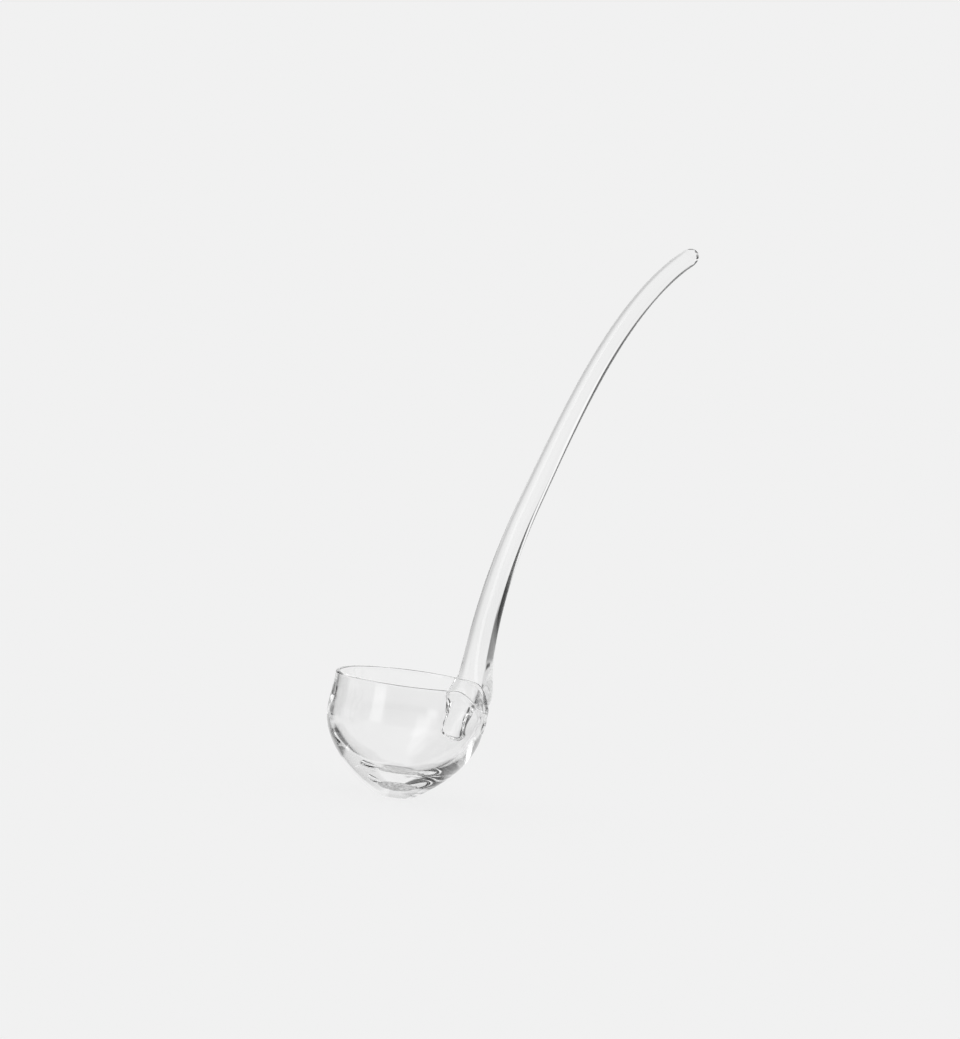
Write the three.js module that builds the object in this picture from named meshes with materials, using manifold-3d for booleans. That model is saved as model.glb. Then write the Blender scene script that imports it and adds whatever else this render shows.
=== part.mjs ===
// Punch ladle in clear glass: a blown bowl with one pouring lip, and a solid drawn handle
// whose root spreads on the outside of the bowl and is fused to it, down from the rim.
// Millimetres, +Z up. The origin is the centre of the ground flat under the bowl, the bowl's
// axis is Z, and the handle stands over +X.
import * as THREE from 'three';
import { mergeVertices } from 'three/addons/utils/BufferGeometryUtils.js';
import Module from 'manifold-3d';

// Bowl, outside
const BOWL_HEIGHT = 63.3; // from the ground flat to the top of the rim
const RIM_RADIUS = 40;
const BELLY_RADIUS = 42; // the widest ring
const BELLY_HEIGHT = 42;
const BASE_RADIUS = 10; // the ground flat
const BASE_SLOPE = THREE.MathUtils.degToRad(31); // of the wall where it leaves the ground flat
const BASE_SWEEP = 16; // how far the wall keeps that slope
const BELLY_SWEEP = 19; // how far the wall runs upright below the widest ring
const SHOULDER_SWEEP = 7; // and above it
const RIM_SWEEP = 8; // how far it runs upright below the rim

// Bowl, inside
const WALL = 3; // at the widest ring
const RIM_WALL = 2;
const BOTTOM_WALL = 9; // on the axis
const HOLLOW_SWEEP = 18; // how far the hollow runs level from the axis
const HOLLOW_RISE = 16; // how far it runs upright below the widest ring

// Pouring lip, drawn down and out of the rim
const LIP_TURN = THREE.MathUtils.degToRad(-57); // from the handle, about the bowl's axis
const LIP_SPREAD = THREE.MathUtils.degToRad(38); // to each side
const LIP_DROP = 11.8;
const LIP_PULL = 4;
const LIP_REACH = 28; // how far down the wall it is felt

// Handle, by its centre line: the heel's end lies on the wall, the root is at the rim's height
const HEEL_DROP = 37.3; // of the heel's end below the rim
const HEEL_TURN = THREE.MathUtils.degToRad(-9); // about the bowl's axis; below 0 is towards the lip
const HEEL_LEAN = THREE.MathUtils.degToRad(24); // from upright, outwards
const HEEL_SWAY = THREE.MathUtils.degToRad(52); // sideways, away from the lip
const ROOT_OUT = 6.8; // from the rim's outside to the centre line
const ROOT_LEAN = THREE.MathUtils.degToRad(1);
const BEND_RISE = 98.2; // above the rim
const BEND_OUT = 31;
const BEND_LEAN = THREE.MathUtils.degToRad(24.5);
const TIP_RISE = 249.2;
const TIP_OUT = 138;
const TIP_LEAN = THREE.MathUtils.degToRad(61);

// Handle, by its sections: a rod that thickens downwards, spreads at its root, and runs out down the
// wall in a tongue with a broad foot
const ROD_RADIUS = 6.6;
const ROD_TIP_RADIUS = 5.2;
const ROD_SWELL = 2.8; // what the rod gains in radius at its root
const SWELL_REACH = 36; // how slowly that dies away upwards
const SPREAD_PLACE = 31.8; // the widest place, from the heel's end
const SPREAD_HALF_WIDTH = 14.8; // around the bowl
const SPREAD_DEPTH = 9.8; // away from the bowl
const SPREAD_RISE = 7; // how quickly the spread narrows into the rod
const SPREAD_FALL = 5.5; // and into the tongue
const TONGUE_HALF_WIDTH = 4.5; // at its waist, between the spread and the foot
const TONGUE_DEPTH = 5.5;
const TONGUE_END = 8; // the rounded end of the tongue
const FOOT_PLACE = 8; // where the tongue's foot is broadest, along the centre line
const FOOT_HALF_WIDTH = 10.5;
const FOOT_REACH = 5;
const TIP_END = 8; // the rounded end of the rod

const CLEARANCE = 0.3; // between the handle's heel and the wall it is fused to

// Facets
const BOWL_SIDES = 48;
const WALL_STEPS = 9;
const RIM_STEPS = 4;
const ROD_SIDES = 20;
const HEEL_STEP = 3; // along the tongue and the spread
const ROD_STEP = 8; // along the rod
const END_STEPS = 6; // over a rounded end

const glass = () => new THREE.MeshStandardMaterial({
  color: 0xf2f5f4, roughness: 0.04, metalness: 0, transparent: true, opacity: 0.35,
});

const wasm = await Module();
wasm.setup();

const rimSpring = BOWL_HEIGHT - RIM_WALL / 2; // where the round of the rim starts

// The outside of the wall, upwards: from the ground flat to the widest ring, and on to the rim.
const outerWall = [
  new THREE.CubicBezierCurve(
    new THREE.Vector2(BASE_RADIUS, 0),
    new THREE.Vector2(BASE_RADIUS + BASE_SWEEP * Math.cos(BASE_SLOPE), BASE_SWEEP * Math.sin(BASE_SLOPE)),
    new THREE.Vector2(BELLY_RADIUS, BELLY_HEIGHT - BELLY_SWEEP),
    new THREE.Vector2(BELLY_RADIUS, BELLY_HEIGHT),
  ),
  new THREE.CubicBezierCurve(
    new THREE.Vector2(BELLY_RADIUS, BELLY_HEIGHT),
    new THREE.Vector2(BELLY_RADIUS, BELLY_HEIGHT + SHOULDER_SWEEP),
    new THREE.Vector2(RIM_RADIUS, rimSpring - RIM_SWEEP),
    new THREE.Vector2(RIM_RADIUS, rimSpring),
  ),
];

// The hollow, upwards: from the axis to the widest ring, and on to the rim.
const innerWall = [
  new THREE.CubicBezierCurve(
    new THREE.Vector2(0, BOTTOM_WALL),
    new THREE.Vector2(HOLLOW_SWEEP, BOTTOM_WALL),
    new THREE.Vector2(BELLY_RADIUS - WALL, BELLY_HEIGHT - HOLLOW_RISE),
    new THREE.Vector2(BELLY_RADIUS - WALL, BELLY_HEIGHT),
  ),
  new THREE.CubicBezierCurve(
    new THREE.Vector2(BELLY_RADIUS - WALL, BELLY_HEIGHT),
    new THREE.Vector2(BELLY_RADIUS - WALL, BELLY_HEIGHT + SHOULDER_SWEEP),
    new THREE.Vector2(RIM_RADIUS - RIM_WALL, rimSpring - RIM_SWEEP),
    new THREE.Vector2(RIM_RADIUS - RIM_WALL, rimSpring),
  ),
];

// Points along a wall, moved outwards by a distance.
function wallPoints(wall, outwards = 0) {
  return wall.flatMap((curve, run) => {
    const points = [];
    for (let step = run === 0 ? 0 : 1; step <= WALL_STEPS; step += 1) {
      const point = curve.getPoint(step / WALL_STEPS);
      const along = curve.getTangent(step / WALL_STEPS);
      points.push(point.add(new THREE.Vector2(along.y, -along.x).multiplyScalar(outwards)));
    }
    return points;
  });
}

// The radius of the bowl's outside at a height.
function wallRadius(height) {
  const points = wallPoints(outerWall);
  const above = Math.max(1, points.findIndex((point) => point.y >= height));
  const [low, high] = [points[above - 1], points[above]];
  return THREE.MathUtils.mapLinear(height, low.y, high.y, low.x, high.x);
}

// Draws the lip out of a body turned about Z: the wall near the rim drops and moves outwards.
function drawLip(geometry) {
  const place = geometry.getAttribute('position');
  const turn = new THREE.Vector2(Math.cos(LIP_TURN), Math.sin(LIP_TURN));
  for (let i = 0; i < place.count; i += 1) {
    const flat = new THREE.Vector2(place.getX(i), place.getY(i));
    const radius = flat.length();
    const away = radius > 0 ? flat.angleTo(turn) : Math.PI;
    const around = Math.cos((Math.PI / 2) * Math.min(1, away / LIP_SPREAD)) ** 2;
    const down = THREE.MathUtils.smoothstep(place.getZ(i), BOWL_HEIGHT - LIP_REACH, BOWL_HEIGHT);
    const amount = around * down;
    flat.setLength(radius + LIP_PULL * amount);
    place.setXYZ(i, flat.x, flat.y, place.getZ(i) - LIP_DROP * amount);
  }
  return geometry;
}

// A body turned about Z from an outline that starts and ends on the axis.
function turned(outline) {
  return drawLip(new THREE.LatheGeometry(outline, BOWL_SIDES).rotateX(Math.PI / 2));
}

function bowlGeometry() {
  const rim = new THREE.Vector2(RIM_RADIUS - RIM_WALL / 2, rimSpring);
  const round = [];
  for (let step = 1; step < RIM_STEPS; step += 1) {
    const angle = (Math.PI * step) / RIM_STEPS;
    round.push(new THREE.Vector2(Math.cos(angle), Math.sin(angle)).multiplyScalar(RIM_WALL / 2).add(rim));
  }
  return turned([
    new THREE.Vector2(0, 0),
    ...wallPoints(outerWall),
    ...round,
    ...wallPoints(innerWall).reverse(),
  ]);
}

// What the handle has to stay out of: the bowl as a full body, and the space straight above its wall.
function keepOutGeometry() {
  const outside = wallPoints(outerWall, CLEARANCE);
  const top = new THREE.Vector2(outside.at(-1).x, BOWL_HEIGHT + TIP_RISE);
  return turned([new THREE.Vector2(0, -CLEARANCE), ...outside, top, new THREE.Vector2(0, top.y)]);
}

// A stretch of the centre line between two places, each with its lean from upright. It may set out
// with a sway to the side.
function stretch(from, fromLean, to, toLean, sway = 0) {
  const pull = from.distanceTo(to) / 3;
  const setOut = new THREE.Vector3(Math.sin(fromLean), Math.tan(sway), Math.cos(fromLean));
  const arrive = new THREE.Vector3(Math.sin(toLean), 0, Math.cos(toLean));
  return new THREE.CubicBezierCurve3(
    from,
    from.clone().addScaledVector(setOut, pull),
    to.clone().addScaledVector(arrive, -pull),
    to,
  );
}

function handleLine() {
  const heelHeight = BOWL_HEIGHT - HEEL_DROP;
  const heel = new THREE.Vector3(wallRadius(heelHeight), 0, heelHeight)
    .applyAxisAngle(new THREE.Vector3(0, 0, 1), HEEL_TURN);
  const root = new THREE.Vector3(RIM_RADIUS + ROOT_OUT, 0, BOWL_HEIGHT);
  const bend = new THREE.Vector3(RIM_RADIUS + BEND_OUT, 0, BOWL_HEIGHT + BEND_RISE);
  const tip = new THREE.Vector3(RIM_RADIUS + TIP_OUT, 0, BOWL_HEIGHT + TIP_RISE);
  const line = new THREE.CurvePath();
  line.add(stretch(heel, HEEL_LEAN, root, ROOT_LEAN, HEEL_SWAY));
  line.add(stretch(root, ROOT_LEAN, bend, BEND_LEAN));
  line.add(stretch(bend, BEND_LEAN, tip, TIP_LEAN));
  return line;
}

// The handle's section at a distance along its centre line: half its width, and its depth away from
// the bowl and towards it. The side towards the bowl stays as shallow as the rod without its swell.
function handleSection(distance, length) {
  const plain = THREE.MathUtils.mapLinear(distance, 0, length, ROD_RADIUS, ROD_TIP_RADIUS);
  const above = distance - SPREAD_PLACE;
  const rod = plain + ROD_SWELL / Math.cosh(above / SWELL_REACH);
  const foot = 1 / Math.cosh((distance - FOOT_PLACE) / FOOT_REACH);
  const tongue = THREE.MathUtils.lerp(TONGUE_HALF_WIDTH, FOOT_HALF_WIDTH, foot);
  const [width, depth] = above > 0 ? [rod, rod] : [tongue, TONGUE_DEPTH];
  const spread = 1 / Math.cosh(above / (above > 0 ? SPREAD_RISE : SPREAD_FALL));
  const tongueEnd = Math.max(0, 1 - distance / TONGUE_END);
  const tipEnd = Math.max(0, 1 - (length - distance) / TIP_END);
  const round = Math.sqrt((1 - tongueEnd ** 2) * (1 - tipEnd ** 2));
  return {
    halfWidth: THREE.MathUtils.lerp(width, SPREAD_HALF_WIDTH, spread) * round,
    depthOut: THREE.MathUtils.lerp(depth, SPREAD_DEPTH, spread) * round,
    depthIn: plain * round,
  };
}

// Where the handle's rings lie: closest over its rounded ends, close along the tongue and the spread.
function ringDistances(length) {
  const distances = [];
  const evenly = (from, to, step) => {
    const steps = Math.ceil((to - from) / step);
    for (let i = 1; i <= steps; i += 1) {
      distances.push(THREE.MathUtils.lerp(from, to, i / steps));
    }
  };
  for (let step = 1; step <= END_STEPS; step += 1) {
    distances.push(TONGUE_END * (1 - Math.cos((step / END_STEPS) * (Math.PI / 2))));
  }
  evenly(TONGUE_END, SPREAD_PLACE + 3 * SPREAD_RISE, HEEL_STEP);
  evenly(SPREAD_PLACE + 3 * SPREAD_RISE, length - TIP_END, ROD_STEP);
  for (let step = 1; step < END_STEPS; step += 1) {
    distances.push(length - TIP_END * (1 - Math.sin((step / END_STEPS) * (Math.PI / 2))));
  }
  return distances;
}

// The handle before its heel is pressed on the bowl: rings along the centre line, and a point at each end.
function rodGeometry() {
  const line = handleLine();
  const length = line.getLength();
  const distances = ringDistances(length);
  const points = [line.getPoint(0)];
  for (const distance of distances) {
    const centre = line.getPointAt(distance / length);
    const along = line.getTangentAt(distance / length);
    const outwards = new THREE.Vector3(along.z, 0, -along.x).normalize();
    const { halfWidth, depthOut, depthIn } = handleSection(distance, length);
    for (let side = 0; side < ROD_SIDES; side += 1) {
      const angle = (2 * Math.PI * side) / ROD_SIDES;
      const depth = Math.cos(angle) > 0 ? depthOut : depthIn;
      const point = centre.clone().addScaledVector(outwards, depth * Math.cos(angle));
      point.y += halfWidth * Math.sin(angle);
      points.push(point);
    }
  }
  points.push(line.getPoint(1));

  const corner = (ring, side) => 1 + ring * ROD_SIDES + (side % ROD_SIDES);
  const last = distances.length - 1;
  const faces = [];
  for (let side = 0; side < ROD_SIDES; side += 1) {
    faces.push(0, corner(0, side + 1), corner(0, side));
    for (let ring = 0; ring < last; ring += 1) {
      const [a, b] = [corner(ring, side), corner(ring, side + 1)];
      const [c, d] = [corner(ring + 1, side + 1), corner(ring + 1, side)];
      faces.push(a, b, c, a, c, d);
    }
    faces.push(corner(last, side), corner(last, side + 1), points.length - 1);
  }
  return new THREE.BufferGeometry().setFromPoints(points).setIndex(faces);
}

function solid(geometry) {
  geometry.deleteAttribute('normal');
  geometry.deleteAttribute('uv');
  const merged = mergeVertices(geometry);
  return new wasm.Manifold(new wasm.Mesh({
    numProp: 3,
    vertProperties: new Float32Array(merged.getAttribute('position').array),
    triVerts: new Uint32Array(merged.getIndex().array),
  }));
}

function handleGeometry() {
  const mesh = solid(rodGeometry()).subtract(solid(keepOutGeometry())).getMesh();
  const geometry = new THREE.BufferGeometry();
  geometry.setAttribute('position', new THREE.BufferAttribute(mesh.vertProperties, 3));
  geometry.setIndex(new THREE.BufferAttribute(mesh.triVerts, 1));
  geometry.computeVertexNormals();
  return geometry;
}

const ladle = new THREE.Group();
ladle.name = 'punch_ladle';

const bowl = new THREE.Mesh(bowlGeometry(), glass());
bowl.name = 'bowl';
ladle.add(bowl);

const handle = new THREE.Mesh(handleGeometry(), glass());
handle.name = 'handle';
ladle.add(handle);

export default ladle;
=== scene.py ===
import math
import bpy
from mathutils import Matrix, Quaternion, Vector
from mathutils.bvhtree import BVHTree


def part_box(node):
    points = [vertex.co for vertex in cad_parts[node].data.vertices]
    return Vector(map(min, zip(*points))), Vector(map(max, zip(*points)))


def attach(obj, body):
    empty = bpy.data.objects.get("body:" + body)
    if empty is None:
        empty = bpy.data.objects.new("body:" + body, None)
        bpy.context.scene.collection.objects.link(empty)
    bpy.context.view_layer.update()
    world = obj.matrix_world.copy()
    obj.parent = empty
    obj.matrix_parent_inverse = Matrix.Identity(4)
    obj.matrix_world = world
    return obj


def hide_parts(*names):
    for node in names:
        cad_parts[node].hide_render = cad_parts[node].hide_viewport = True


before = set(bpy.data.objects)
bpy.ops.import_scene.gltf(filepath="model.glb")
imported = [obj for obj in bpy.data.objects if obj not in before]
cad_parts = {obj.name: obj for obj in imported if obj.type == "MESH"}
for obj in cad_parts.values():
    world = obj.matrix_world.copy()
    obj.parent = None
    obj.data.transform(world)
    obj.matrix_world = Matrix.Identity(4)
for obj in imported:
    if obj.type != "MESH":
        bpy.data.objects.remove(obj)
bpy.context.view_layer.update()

# Bowl
# The cup of the ladle: a gather of clear glass, blown to a thin wall over a thick bottom.
# Its rim is melted round, one pouring lip is drawn out of it hot, and its underside is ground flat.
bowl_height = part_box("bowl")[1].z
belly_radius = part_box("bowl")[1].x
belly_height = 0.042
base_radius = 0.010
base_slope = math.radians(31)
base_sweep = 0.016
belly_sweep = 0.019
shoulder_sweep = 0.007
rim_radius = 0.040
rim_sweep = 0.008
belly_wall = 0.003
rim_wall = 0.002
bottom_wall = 0.009
hollow_sweep = 0.018
hollow_rise = 0.016
lip_turn = math.radians(-57)
lip_spread = math.radians(38)
lip_drop = 0.0118
lip_pull = 0.004
lip_reach = 0.028
wall_steps = 28
rim_steps = 10
bowl_turns = 192
touching = 1e-6
rim_spring = bowl_height - rim_wall / 2


def swept(start, start_pull, end_pull, end):
    """Places along a cubic curve, its first one left out."""
    places = []
    for step in range(1, wall_steps + 1):
        t = step / wall_steps
        near = start * (1 - t) ** 3 + start_pull * 3 * t * (1 - t) ** 2
        far = end_pull * 3 * t ** 2 * (1 - t) + end * t ** 3
        places.append(near + far)
    return places


def shoulder(belly, rim):
    """The wall from its widest ring to the round of the rim."""
    return swept(
        Vector((belly, belly_height)),
        Vector((belly, belly_height + shoulder_sweep)),
        Vector((rim, rim_spring - rim_sweep)),
        Vector((rim, rim_spring)),
    )


outside = [Vector((0, 0)), Vector((base_radius, 0))]
outside += swept(
    Vector((base_radius, 0)),
    Vector((base_radius + base_sweep * math.cos(base_slope), base_sweep * math.sin(base_slope))),
    Vector((belly_radius, belly_height - belly_sweep)),
    Vector((belly_radius, belly_height)),
)
outside += shoulder(belly_radius, rim_radius)
inside = [Vector((0, bottom_wall))]
inside += swept(
    Vector((0, bottom_wall)),
    Vector((hollow_sweep, bottom_wall)),
    Vector((belly_radius - belly_wall, belly_height - hollow_rise)),
    Vector((belly_radius - belly_wall, belly_height)),
)
inside += shoulder(belly_radius - belly_wall, rim_radius - rim_wall)
rim_round = []
for step in range(1, rim_steps):
    turn = math.pi * step / rim_steps
    middle = rim_radius - rim_wall / 2
    round_way = Vector((math.cos(turn), math.sin(turn)))
    rim_round.append(Vector((middle, rim_spring)) + round_way * rim_wall / 2)
section = outside + rim_round + inside[::-1]

bpy.ops.object.select_all(action="DESELECT")
bpy.ops.mesh.primitive_circle_add(vertices=len(section), fill_type="NOTHING")
bowl = bpy.context.object
bowl.name = "blown_bowl"
for vertex, place in zip(bowl.data.vertices, section):
    vertex.co = (place.x, 0, place.y)
for edge in bowl.data.edges:
    edge.select = all(section[corner].x == 0 for corner in edge.vertices)
for vertex in bowl.data.vertices:
    vertex.select = section[vertex.index].x == 0
bpy.ops.object.mode_set(mode="EDIT")
bpy.ops.mesh.select_mode(type="EDGE")
bpy.ops.mesh.delete(type="EDGE")
bpy.ops.mesh.select_all(action="SELECT")
bpy.ops.mesh.spin(steps=bowl_turns, angle=2 * math.pi, center=(0, 0, 0), axis=(0, 0, 1))
bpy.ops.mesh.select_all(action="SELECT")
bpy.ops.mesh.remove_doubles(threshold=touching)
bpy.ops.mesh.normals_make_consistent(inside=False)
bpy.ops.object.mode_set(mode="OBJECT")

# The faces of the outside are counted before the lip is drawn, while the wall is still round.
outer_faces = set()
for face in bowl.data.polygons:
    outwards = face.center.copy()
    outwards.z = 0
    facing = face.normal.dot(outwards.normalized()) - face.normal.z
    if facing > 0 and face.center.z < rim_spring:
        outer_faces.add(face.index)

lip_way = Vector((math.cos(lip_turn), math.sin(lip_turn)))
for vertex in bowl.data.vertices:
    flat = vertex.co.xy
    if flat.length == 0:
        continue
    away = min(1, flat.angle(lip_way) / lip_spread)
    up = min(1, max(0, (vertex.co.z - bowl_height + lip_reach) / lip_reach))
    amount = math.cos(away * math.pi / 2) ** 2 * up * up * (3 - 2 * up)
    flat = flat * (1 + lip_pull * amount / flat.length)
    vertex.co = (flat.x, flat.y, vertex.co.z - lip_drop * amount)

# Handle
# A second gather, drawn to a solid rod that tapers and sweeps outwards to a rounded tip.
# Its root spreads where it is pressed hot on the bowl, and runs out down the wall in a tongue
# with a broad foot.
heel_drop = 0.0373
heel_height = bowl_height - heel_drop
heel_turn = math.radians(-9)
heel_lean = math.radians(24)
heel_sway = math.radians(52)
root_out = 0.0068
root_lean = math.radians(1)
bend_rise = 0.0982
bend_out = 0.031
bend_lean = math.radians(24.5)
tip_rise = 0.2492
tip_out = 0.138
tip_lean = math.radians(61)
rod_radius = 0.0066
rod_tip_radius = 0.0052
rod_swell = 0.0028
swell_reach = 0.036
spread_place = 0.0318
spread_half_width = 0.0148
spread_depth = 0.0098
spread_rise = 0.007
spread_fall = 0.0055
tongue_half_width = 0.0045
tongue_depth = 0.0055
tongue_end = 0.008
foot_place = 0.008
foot_half_width = 0.0105
foot_reach = 0.005
tip_end = 0.008
rod_sides = 64
rod_rings = 202
end_rings = 24
heel_rings = 60
line_steps = 400
cut_rings = 101
spread_gone = 4


def stretch(start, start_lean, end, end_lean, sway=0):
    """A run of the rod's centre line between two places, each with its lean from upright."""
    pull = (end - start).length / 3
    leaving = start + Vector((math.sin(start_lean), math.tan(sway), math.cos(start_lean))) * pull
    arriving = end - Vector((math.sin(end_lean), 0, math.cos(end_lean))) * pull
    run = []
    for step in range(line_steps):
        t = step / line_steps
        near = start * (1 - t) ** 3 + leaving * 3 * t * (1 - t) ** 2
        far = arriving * 3 * t ** 2 * (1 - t) + end * t ** 3
        run.append(near + far)
    return run


above = next(i for i, place in enumerate(outside) if place.y > heel_height)
low, high = outside[above - 1], outside[above]
heel_radius = low.x + (high.x - low.x) * (heel_height - low.y) / (high.y - low.y)
heel = Vector((heel_radius * math.cos(heel_turn), heel_radius * math.sin(heel_turn), heel_height))
root = Vector((rim_radius + root_out, 0, bowl_height))
bend = Vector((rim_radius + bend_out, 0, bowl_height + bend_rise))
tip = Vector((rim_radius + tip_out, 0, bowl_height + tip_rise))
line = stretch(heel, heel_lean, root, root_lean, heel_sway)
line += stretch(root, root_lean, bend, bend_lean)
line += stretch(bend, bend_lean, tip, tip_lean)
line.append(tip)
reached = [0]
for start, end in zip(line, line[1:]):
    reached.append(reached[-1] + (end - start).length)
rod_length = reached[-1]


def ring_distance(ring):
    """How far along the rod a ring lies: closest over the rounded ends, close along the heel."""
    heel_stop = spread_place + spread_gone * spread_rise
    if ring < end_rings:
        return tongue_end * (1 - math.cos(ring / end_rings * math.pi / 2))
    if ring > rod_rings - end_rings:
        return rod_length - tip_end * (1 - math.cos((rod_rings - ring) / end_rings * math.pi / 2))
    if ring < end_rings + heel_rings:
        return tongue_end + (heel_stop - tongue_end) * (ring - end_rings) / heel_rings
    share = (ring - end_rings - heel_rings) / (rod_rings - 2 * end_rings - heel_rings)
    return heel_stop + (rod_length - heel_stop - tip_end) * share


bpy.ops.object.select_all(action="DESELECT")
bpy.ops.mesh.primitive_cylinder_add(
    vertices=rod_sides, radius=1, depth=1, end_fill_type="NOTHING", calc_uvs=True,
)
handle = bpy.context.object
handle.name = "drawn_handle"
for cuts in (rod_rings // cut_rings - 1, cut_rings - 1):
    bpy.ops.object.mode_set(mode="EDIT")
    bpy.ops.mesh.select_mode(type="EDGE")
    bpy.ops.mesh.select_all(action="DESELECT")
    bpy.ops.object.mode_set(mode="OBJECT")
    for edge in handle.data.edges:
        first, second = (handle.data.vertices[corner] for corner in edge.vertices)
        edge.select = first.co.z != second.co.z
    bpy.ops.object.mode_set(mode="EDIT")
    bpy.ops.mesh.subdivide(number_cuts=cuts)
    bpy.ops.object.mode_set(mode="OBJECT")

at = 0
for vertex in sorted(handle.data.vertices, key=lambda v: v.co.z):
    distance = ring_distance(round((vertex.co.z + 0.5) * rod_rings))
    while at < len(line) - 2 and reached[at + 1] < distance:
        at += 1
    along = (line[at + 1] - line[at]).normalized()
    centre = line[at] + along * (distance - reached[at])
    outwards = Vector((along.z, 0, -along.x)).normalized()
    plain = rod_radius + (rod_tip_radius - rod_radius) * distance / rod_length
    above = distance - spread_place
    width = depth = plain + rod_swell / math.cosh(above / swell_reach)
    spread = 1 / math.cosh(above / (spread_rise if above > 0 else spread_fall))
    if above <= 0:
        foot = 1 / math.cosh((distance - foot_place) / foot_reach)
        width = tongue_half_width + (foot_half_width - tongue_half_width) * foot
        depth = tongue_depth
    width += (spread_half_width - width) * spread
    depth += (spread_depth - depth) * spread
    if vertex.co.x <= 0:
        depth = plain
    end_gone = max(0, 1 - distance / tongue_end)
    tip_gone = max(0, 1 - (rod_length - distance) / tip_end)
    rounded = math.sqrt((1 - end_gone ** 2) * (1 - tip_gone ** 2))
    sideways = Vector((0, width * rounded * vertex.co.y, 0))
    vertex.co = centre + outwards * depth * rounded * vertex.co.x + sideways
bpy.ops.object.mode_set(mode="EDIT")
bpy.ops.mesh.select_all(action="SELECT")
bpy.ops.mesh.remove_doubles(threshold=touching)
bpy.ops.mesh.normals_make_consistent(inside=False)
bpy.ops.object.mode_set(mode="OBJECT")

# Fused seam
# Where the heel sits on the wall the two gathers have run together and no surface is left.
# The heel is cut to the wall's own outside, and both faces of the seam let light straight through.
seam = bpy.data.materials.new("fused_seam")
seam.use_nodes = True
nodes, links = seam.node_tree.nodes, seam.node_tree.links
nodes.clear()
through = nodes.new("ShaderNodeBsdfTransparent")
output = nodes.new("ShaderNodeOutputMaterial")
links.new(through.outputs["BSDF"], output.inputs["Surface"])

bpy.ops.object.select_all(action="DESELECT")
bowl.select_set(True)
bpy.context.view_layer.objects.active = bowl
bpy.ops.object.duplicate()
bowl_body = bpy.context.object
bowl_body.data.materials.append(seam)
bpy.ops.object.mode_set(mode="EDIT")
bpy.ops.mesh.select_mode(type="FACE")
bpy.ops.mesh.select_all(action="DESELECT")
bpy.ops.object.mode_set(mode="OBJECT")
for face in bowl_body.data.polygons:
    face.select = face.index not in outer_faces
bpy.ops.object.mode_set(mode="EDIT")
bpy.ops.mesh.delete(type="FACE")
bpy.ops.mesh.select_all(action="SELECT")
bpy.ops.mesh.fill_holes(sides=0)
bpy.ops.mesh.normals_make_consistent(inside=False)
bpy.ops.object.mode_set(mode="OBJECT")

bpy.ops.object.select_all(action="DESELECT")
handle.select_set(True)
bpy.context.view_layer.objects.active = handle
bpy.ops.object.duplicate()
whole_rod = bpy.context.object
bpy.ops.object.select_all(action="DESELECT")
handle.select_set(True)
bpy.context.view_layer.objects.active = handle
cut = handle.modifiers.new("pressed_on_the_wall", "BOOLEAN")
cut.operation = "DIFFERENCE"
cut.solver = "EXACT"
cut.material_mode = "TRANSFER"
cut.object = bowl_body
bpy.ops.object.modifier_apply(modifier=cut.name)
bpy.data.objects.remove(bowl_body)

rod_skin = BVHTree.FromPolygons(
    [vertex.co for vertex in whole_rod.data.vertices],
    [face.vertices for face in whole_rod.data.polygons],
)
bowl.data.materials.append(None)
bowl.data.materials.append(seam)
whole_rod.data.materials.append(seam)
bpy.ops.object.select_all(action="DESELECT")
whole_rod.select_set(True)
bowl.select_set(True)
bpy.context.view_layer.objects.active = bowl
bpy.ops.object.join()
bpy.ops.object.mode_set(mode="EDIT")
bpy.ops.mesh.select_mode(type="FACE")
bpy.ops.mesh.select_all(action="DESELECT")
bpy.ops.object.mode_set(mode="OBJECT")
for face in bowl.data.polygons:
    face.select = face.material_index == 1
bpy.ops.object.mode_set(mode="EDIT")
bpy.ops.mesh.intersect(mode="SELECT_UNSELECT", separate_mode="NONE", solver="EXACT")
bpy.ops.mesh.select_all(action="DESELECT")
bpy.ops.object.mode_set(mode="OBJECT")
for face in bowl.data.polygons:
    face.select = face.material_index == 1
bpy.ops.object.mode_set(mode="EDIT")
bpy.ops.mesh.delete(type="FACE")
bpy.ops.mesh.select_all(action="SELECT")
bpy.ops.mesh.remove_doubles(threshold=touching)
bpy.ops.object.mode_set(mode="OBJECT")
for face in bowl.data.polygons:
    place, normal = rod_skin.find_nearest(face.center)[:2]
    face.material_index = 1 if normal.dot(place - face.center) > 0 else 0

# Glass
# Clear soda glass, fire-polished all over. Shadow rays pass, so that the floor keeps only a faint shadow.
# The blown wall is never quite even, and the rod keeps faint lines from its drawing, which are gone at
# its tip and heel.
clear_tint = (0.988, 0.988, 0.988, 1)
thick_tint = (0.974, 0.974, 0.974, 1)
glass_index = 1.5
streak_from = 0.45
streak_to = 0.7
wall_wave_scale = 40
wall_wave_depth = 0.00006
drawn_line_scale = 1
drawn_line_depth = 0.000004
lines_around = 4
lines_along = 3
line_fade = 0.06
wave_group = bpy.data.node_groups.new("glass_waves", "ShaderNodeTree")
wave_group.interface.new_socket("Place", in_out="INPUT", socket_type="NodeSocketVector")
wave_group.interface.new_socket("Scale", in_out="INPUT", socket_type="NodeSocketFloat")
wave_group.interface.new_socket("Height", in_out="OUTPUT", socket_type="NodeSocketFloat")
wave_group.interface.new_socket("Streak", in_out="OUTPUT", socket_type="NodeSocketFloat")
nodes, links = wave_group.nodes, wave_group.links
given = nodes.new("NodeGroupInput")
swell = nodes.new("ShaderNodeTexNoise")
swell.inputs["Detail"].default_value = 1
links.new(given.outputs["Place"], swell.inputs["Vector"])
links.new(given.outputs["Scale"], swell.inputs["Scale"])
streak = nodes.new("ShaderNodeMapRange")
streak.interpolation_type = "SMOOTHSTEP"
streak.inputs["From Min"].default_value = streak_from
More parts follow.
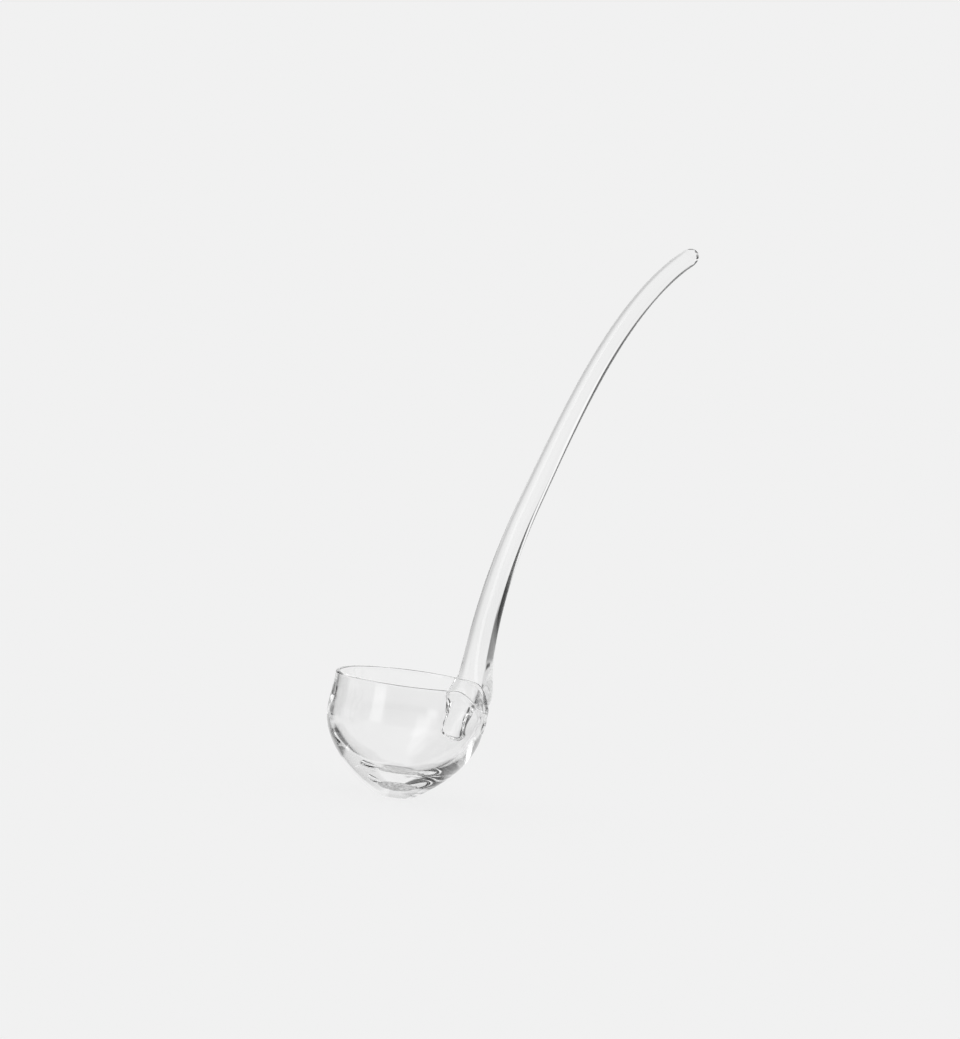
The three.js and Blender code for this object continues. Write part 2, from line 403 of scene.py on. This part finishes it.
streak.inputs["From Max"].default_value = streak_to
links.new(swell.outputs["Fac"], streak.inputs["Value"])
result = nodes.new("NodeGroupOutput")
links.new(swell.outputs["Fac"], result.inputs["Height"])
links.new(streak.outputs["Result"], result.inputs["Streak"])


def clear_glass(name, scale, depth):
    """A glass material with waves of a scale and depth, and the nodes that place and raise them."""
    glass = bpy.data.materials.new(name)
    glass.use_nodes = True
    nodes, links = glass.node_tree.nodes, glass.node_tree.links
    nodes.clear()
    place = nodes.new("ShaderNodeTexCoord")
    waves = nodes.new("ShaderNodeGroup")
    waves.node_tree = wave_group
    waves.inputs["Scale"].default_value = scale
    links.new(place.outputs["Object"], waves.inputs["Place"])
    tint = nodes.new("ShaderNodeMix")
    tint.data_type = "RGBA"
    tint.inputs["A"].default_value = clear_tint
    tint.inputs["B"].default_value = thick_tint
    links.new(waves.outputs["Streak"], tint.inputs["Factor"])
    bump = nodes.new("ShaderNodeBump")
    bump.inputs["Distance"].default_value = depth
    links.new(waves.outputs["Height"], bump.inputs["Height"])
    body = nodes.new("ShaderNodeBsdfPrincipled")
    body.inputs["Roughness"].default_value = 0
    body.inputs["IOR"].default_value = glass_index
    body.inputs["Transmission Weight"].default_value = 1
    links.new(tint.outputs["Result"], body.inputs["Base Color"])
    links.new(bump.outputs["Normal"], body.inputs["Normal"])
    through = nodes.new("ShaderNodeBsdfTransparent")
    path = nodes.new("ShaderNodeLightPath")
    mix = nodes.new("ShaderNodeMixShader")
    output = nodes.new("ShaderNodeOutputMaterial")
    links.new(path.outputs["Is Shadow Ray"], mix.inputs["Fac"])
    links.new(body.outputs["BSDF"], mix.inputs[1])
    links.new(through.outputs["BSDF"], mix.inputs[2])
    links.new(mix.outputs["Shader"], output.inputs["Surface"])
    return glass, waves, bump


bowl.data.materials[0] = clear_glass("bowl_glass", wall_wave_scale, wall_wave_depth)[0]
rod_glass, waves, bump = clear_glass("handle_glass", drawn_line_scale, drawn_line_depth)
handle.data.materials[0] = rod_glass
nodes, links = rod_glass.node_tree.nodes, rod_glass.node_tree.links
place = nodes.new("ShaderNodeUVMap")
parts = nodes.new("ShaderNodeSeparateXYZ")
links.new(place.outputs["UV"], parts.inputs["Vector"])
around = nodes.new("ShaderNodeMath")
around.operation = "MULTIPLY"
around.inputs[1].default_value = 2 * math.pi
links.new(parts.outputs["X"], around.inputs[0])
ring = nodes.new("ShaderNodeCombineXYZ")
for way, operation in (("X", "COSINE"), ("Y", "SINE")):
    turn = nodes.new("ShaderNodeMath")
    turn.operation = operation
    links.new(around.outputs["Value"], turn.inputs[0])
    spread = nodes.new("ShaderNodeMath")
    spread.operation = "MULTIPLY"
    spread.inputs[1].default_value = lines_around
    links.new(turn.outputs["Value"], spread.inputs[0])
    links.new(spread.outputs["Value"], ring.inputs[way])
along = nodes.new("ShaderNodeMath")
along.operation = "MULTIPLY"
along.inputs[1].default_value = lines_along
links.new(parts.outputs["Y"], along.inputs[0])
links.new(along.outputs["Value"], ring.inputs["Z"])
links.new(ring.outputs["Vector"], waves.inputs["Place"])
drawn_from = (end_rings + heel_rings) / rod_rings
drawn_to = 1 - end_rings / rod_rings
half_drawn = (drawn_to - drawn_from) / 2
off_middle = nodes.new("ShaderNodeMath")
off_middle.operation = "SUBTRACT"
off_middle.inputs[1].default_value = (drawn_from + drawn_to) / 2
links.new(parts.outputs["Y"], off_middle.inputs[0])
away = nodes.new("ShaderNodeMath")
away.operation = "ABSOLUTE"
links.new(off_middle.outputs["Value"], away.inputs[0])
fade = nodes.new("ShaderNodeMapRange")
fade.interpolation_type = "SMOOTHSTEP"
fade.inputs["From Min"].default_value = half_drawn - line_fade
fade.inputs["From Max"].default_value = half_drawn
fade.inputs["To Min"].default_value = 1
fade.inputs["To Max"].default_value = 0
links.new(away.outputs["Value"], fade.inputs["Value"])
faded = nodes.new("ShaderNodeMath")
faded.operation = "MULTIPLY"
links.new(waves.outputs["Height"], faded.inputs[0])
links.new(fade.outputs["Result"], faded.inputs[1])
links.new(faded.outputs["Value"], bump.inputs["Height"])

# Ground flat
# The scar under the bowl is ground away to a fine matt flat, and catches light from inside the glass. Its
# opaque grey is painted shade as well: a darker tone than ground glass has, standing in for the contact
# shadow under the base.
# Only the faces that lie flat on the floor have it.
grain_scale = 450
grain_detail = 3
grain_low = 0.35
grain_high = 0.65
# The two greys of the flat are painted shade for the contact shadow under the base, with the real grain
# between them.
painted_shade_dark = 0.4
painted_shade_light = 0.85
ground_roughness = 0.6
grain_depth = 0.0001
flat_facing = -0.9
ground_and_shade = bpy.data.materials.new("ground_flat_and_painted_shade")
ground_and_shade.use_nodes = True
nodes, links = ground_and_shade.node_tree.nodes, ground_and_shade.node_tree.links
matt = nodes["Principled BSDF"]
place = nodes.new("ShaderNodeTexCoord")
grain = nodes.new("ShaderNodeTexNoise")
grain.inputs["Scale"].default_value = grain_scale
grain.inputs["Detail"].default_value = grain_detail
links.new(place.outputs["Object"], grain.inputs["Vector"])
# The grain's tone is spread between the two painted-shade greys, which darken the opaque flat like the
# contact shadow under the base.
painted_shade_tone = nodes.new("ShaderNodeMapRange")
painted_shade_tone.inputs["From Min"].default_value = grain_low
painted_shade_tone.inputs["From Max"].default_value = grain_high
painted_shade_tone.inputs["To Min"].default_value = painted_shade_dark
painted_shade_tone.inputs["To Max"].default_value = painted_shade_light
links.new(grain.outputs["Fac"], painted_shade_tone.inputs["Value"])
links.new(painted_shade_tone.outputs["Result"], matt.inputs["Base Color"])
matt.inputs["Roughness"].default_value = ground_roughness
bump = nodes.new("ShaderNodeBump")
bump.inputs["Distance"].default_value = grain_depth
links.new(grain.outputs["Fac"], bump.inputs["Height"])
links.new(bump.outputs["Normal"], matt.inputs["Normal"])
bowl.data.materials.append(ground_and_shade)
for face in bowl.data.polygons:
    if face.center.z < touching and face.normal.z < flat_facing:
        face.material_index = 2

# Fire polish
# Both pieces are melted smooth. The borders of the ground flat and of the rod's seam stay sharp.
# They are one rigid body of glass, and each takes the place of its own solid.
smooth_angle = math.radians(25)
for piece, node in ((bowl, "bowl"), (handle, "handle")):
    bpy.ops.object.select_all(action="DESELECT")
    piece.select_set(True)
    bpy.context.view_layer.objects.active = piece
    bpy.ops.object.shade_smooth_by_angle(angle=smooth_angle)
    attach(piece, "root")
    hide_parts(node)
edge_of = {edge.key: edge for edge in handle.data.edges}
skins = {}
for face in handle.data.polygons:
    for key in face.edge_keys:
        skins.setdefault(key, set()).add(face.material_index)
for key, slots in skins.items():
    if len(slots) > 1:
        edge_of[key].use_edge_sharp = True

# Camera
# The photograph looks slightly down on the rim, with the handle away on the right. The ladle leans in it,
# so the camera is rolled, and then turned until the middle of the rim has its place in the picture.
image_width = 960
image_height = 1039
rim_pixel = Vector((410.5, 679.5))
metres_per_pixel = 0.000534
view_distance = 1.5
view_turn = math.radians(47)
view_rise = math.radians(6.7)
lean = math.radians(7.5)
aim_height = 0.0625
sensor_width = 36
aim = Vector((0, 0, aim_height))
back = Vector((
    -math.cos(view_turn) * math.cos(view_rise),
    -math.sin(view_turn) * math.cos(view_rise),
    math.sin(view_rise),
))
focal_pixels = view_distance / metres_per_pixel
bpy.ops.object.camera_add(location=aim + back * view_distance)
camera = bpy.context.object
camera.data.sensor_width = sensor_width
camera.data.lens = focal_pixels * sensor_width / image_height
straight = (-back).to_track_quat("-Z", "Y") @ Quaternion((0, 0, 1), lean)
rim_way = Vector((rim_pixel.x - image_width / 2, image_height / 2 - rim_pixel.y, -focal_pixels))
camera.rotation_mode = "QUATERNION"
camera.rotation_quaternion = straight @ rim_way.rotation_difference(Vector((0, 0, -1)))
scene = bpy.context.scene
scene.camera = camera
scene.view_settings.view_transform = "Standard"

# Floor
# A wide pale sheet that glows evenly and takes only a faint shadow.
# The glass sees the studio through it.
background = 0.879
shadow_share = 0.1
floor_reach = 40
bpy.ops.object.select_all(action="DESELECT")
bpy.ops.mesh.primitive_plane_add(size=2 * floor_reach, location=(0, 0, 0))
floor = bpy.context.object
floor.name = "floor"
paint = bpy.data.materials.new("floor_paint")
paint.use_nodes = True
nodes, links = paint.node_tree.nodes, paint.node_tree.links
nodes.clear()
glow = nodes.new("ShaderNodeEmission")
glow.inputs["Color"].default_value = (background, background, background, 1)
matt = nodes.new("ShaderNodeBsdfDiffuse")
matt.inputs["Color"].default_value = (background, background, background, 1)
sheet = nodes.new("ShaderNodeMixShader")
sheet.inputs["Fac"].default_value = shadow_share
links.new(glow.outputs["Emission"], sheet.inputs[1])
links.new(matt.outputs["BSDF"], sheet.inputs[2])
path = nodes.new("ShaderNodeLightPath")
by_glass = nodes.new("ShaderNodeMath")
by_glass.operation = "ADD"
by_glass.use_clamp = True
links.new(path.outputs["Is Glossy Ray"], by_glass.inputs[0])
links.new(path.outputs["Is Transmission Ray"], by_glass.inputs[1])
through = nodes.new("ShaderNodeBsdfTransparent")
seen = nodes.new("ShaderNodeMixShader")
links.new(by_glass.outputs["Value"], seen.inputs["Fac"])
links.new(sheet.outputs["Shader"], seen.inputs[1])
links.new(through.outputs["BSDF"], seen.inputs[2])
output = nodes.new("ShaderNodeOutputMaterial")
links.new(seen.outputs["Shader"], output.inputs["Surface"])
floor.data.materials.append(paint)

# Studio
# Even light on the floor. The glass sees a pale room with a few soft cards, which draw its edges and streaks.
# Each card has its turn to the right of the view, its rise, half sizes and softness in degrees,
# and its light. Light runs far along the thick glass, so its paths are long.
light_paths = 40
room_light = 0.82
floor_light = 1
cards = (
    ("backdrop", 0, 0, 28, 60, 10, 0.88),
    ("dark_upper", -70, 39, 39, 23, 7, 0.02),
    ("low_wall", -60, -14, 35, 5, 4, 0.68),
    ("far_wall", -112, 8, 16, 16, 10, 0.45),
    ("dark_far", -86, 10, 16, 9, 6, 0.10),
    ("grey_edge", -48, -6.5, 24, 4, 3, 0.25),
    ("side_light", -45, 13, 23, 3.7, 4, 1.0),
    ("dark_side", -51, 3, 22, 6.5, 4, 0.0),
    ("dark_slit", -38, -12, 9, 1, 1.5, 0.05),
    ("softbox", -147, 40, 13, 26, 6, 2.0),
    ("low_softbox", -136, 5, 9, 10, 5, 2.0),
    ("dark_behind", 155, 4, 57, 12, 8, 0.30),
    ("dark_table", 20, -51, 13, 11, 6, 0.1),
    ("dark_front", -2, -56, 10, 13, 5, 0.05),
    ("dark_high", -30, 48, 13, 15, 8, 0.05),
    ("grey_left", 68, -10, 32, 5, 16, 0.62),
    ("dark_ground", -42, -46, 24, 22, 6, 0.06),
)
card_group = bpy.data.node_groups.new("studio_card", "ShaderNodeTree")
for socket in ("Turn", "Rise", "Half Width", "Half Height", "Softness"):
    card_group.interface.new_socket(socket, in_out="INPUT", socket_type="NodeSocketFloat")
card_group.interface.new_socket("Share", in_out="OUTPUT", socket_type="NodeSocketFloat")
nodes, links = card_group.nodes, card_group.links
given = nodes.new("NodeGroupInput")
way = nodes.new("ShaderNodeTexCoord")
turned = nodes.new("ShaderNodeVectorRotate")
turned.rotation_type = "Z_AXIS"
links.new(way.outputs["Generated"], turned.inputs["Vector"])
links.new(given.outputs["Turn"], turned.inputs["Angle"])
parts = nodes.new("ShaderNodeSeparateXYZ")
links.new(turned.outputs["Vector"], parts.inputs["Vector"])
across = nodes.new("ShaderNodeMath")
across.operation = "ARCTAN2"
links.new(parts.outputs["Y"], across.inputs[0])
links.new(parts.outputs["X"], across.inputs[1])
height = nodes.new("ShaderNodeMath")
height.operation = "ARCSINE"
links.new(parts.outputs["Z"], height.inputs[0])
upwards = nodes.new("ShaderNodeMath")
upwards.operation = "SUBTRACT"
links.new(height.outputs["Value"], upwards.inputs[0])
links.new(given.outputs["Rise"], upwards.inputs[1])
share = nodes.new("ShaderNodeMath")
share.operation = "MULTIPLY"
for slot, (angle, half) in enumerate(((across, "Half Width"), (upwards, "Half Height"))):
    away = nodes.new("ShaderNodeMath")
    away.operation = "ABSOLUTE"
    links.new(angle.outputs["Value"], away.inputs[0])
    within = nodes.new("ShaderNodeMath")
    within.operation = "SUBTRACT"
    links.new(given.outputs[half], within.inputs[0])
    links.new(away.outputs["Value"], within.inputs[1])
    soft = nodes.new("ShaderNodeMath")
    soft.operation = "DIVIDE"
    links.new(within.outputs["Value"], soft.inputs[0])
    links.new(given.outputs["Softness"], soft.inputs[1])
    edge = nodes.new("ShaderNodeMapRange")
    edge.interpolation_type = "SMOOTHSTEP"
    edge.inputs["From Min"].default_value = -0.5
    edge.inputs["From Max"].default_value = 0.5
    links.new(soft.outputs["Value"], edge.inputs["Value"])
    links.new(edge.outputs["Result"], share.inputs[slot])
result = nodes.new("NodeGroupOutput")
links.new(share.outputs["Value"], result.inputs["Share"])

scene.cycles.max_bounces = light_paths
scene.cycles.glossy_bounces = light_paths
scene.cycles.transmission_bounces = light_paths
scene.cycles.transparent_max_bounces = light_paths
world = bpy.data.worlds.new("studio")
scene.world = world
world.use_nodes = True
nodes, links = world.node_tree.nodes, world.node_tree.links
light = nodes.new("ShaderNodeValue")
light.outputs["Value"].default_value = room_light
level = light.outputs["Value"]
for name, turn, rise, half_width, half_height, softness, brightness in cards:
    card = nodes.new("ShaderNodeGroup")
    card.node_tree = card_group
    card.name = name
    card.inputs["Turn"].default_value = math.radians(turn) - view_turn
    card.inputs["Rise"].default_value = math.radians(rise)
    card.inputs["Half Width"].default_value = math.radians(half_width)
    card.inputs["Half Height"].default_value = math.radians(half_height)
    card.inputs["Softness"].default_value = math.radians(softness)
    mix = nodes.new("ShaderNodeMix")
    links.new(card.outputs["Share"], mix.inputs["Factor"])
    links.new(level, mix.inputs["A"])
    mix.inputs["B"].default_value = brightness
    level = mix.outputs["Result"]
path = nodes.new("ShaderNodeLightPath")
plain = nodes.new("ShaderNodeMix")
links.new(path.outputs["Is Camera Ray"], plain.inputs["Factor"])
plain.inputs["A"].default_value = floor_light
plain.inputs["B"].default_value = background
by_glass = nodes.new("ShaderNodeMath")
by_glass.operation = "ADD"
by_glass.use_clamp = True
links.new(path.outputs["Is Glossy Ray"], by_glass.inputs[0])
links.new(path.outputs["Is Transmission Ray"], by_glass.inputs[1])
shown = nodes.new("ShaderNodeMix")
links.new(by_glass.outputs["Value"], shown.inputs["Factor"])
links.new(plain.outputs["Result"], shown.inputs["A"])
links.new(level, shown.inputs["B"])
sky = nodes["Background"]
sky.inputs["Color"].default_value = (1, 1, 1, 1)
links.new(shown.outputs["Result"], sky.inputs["Strength"])
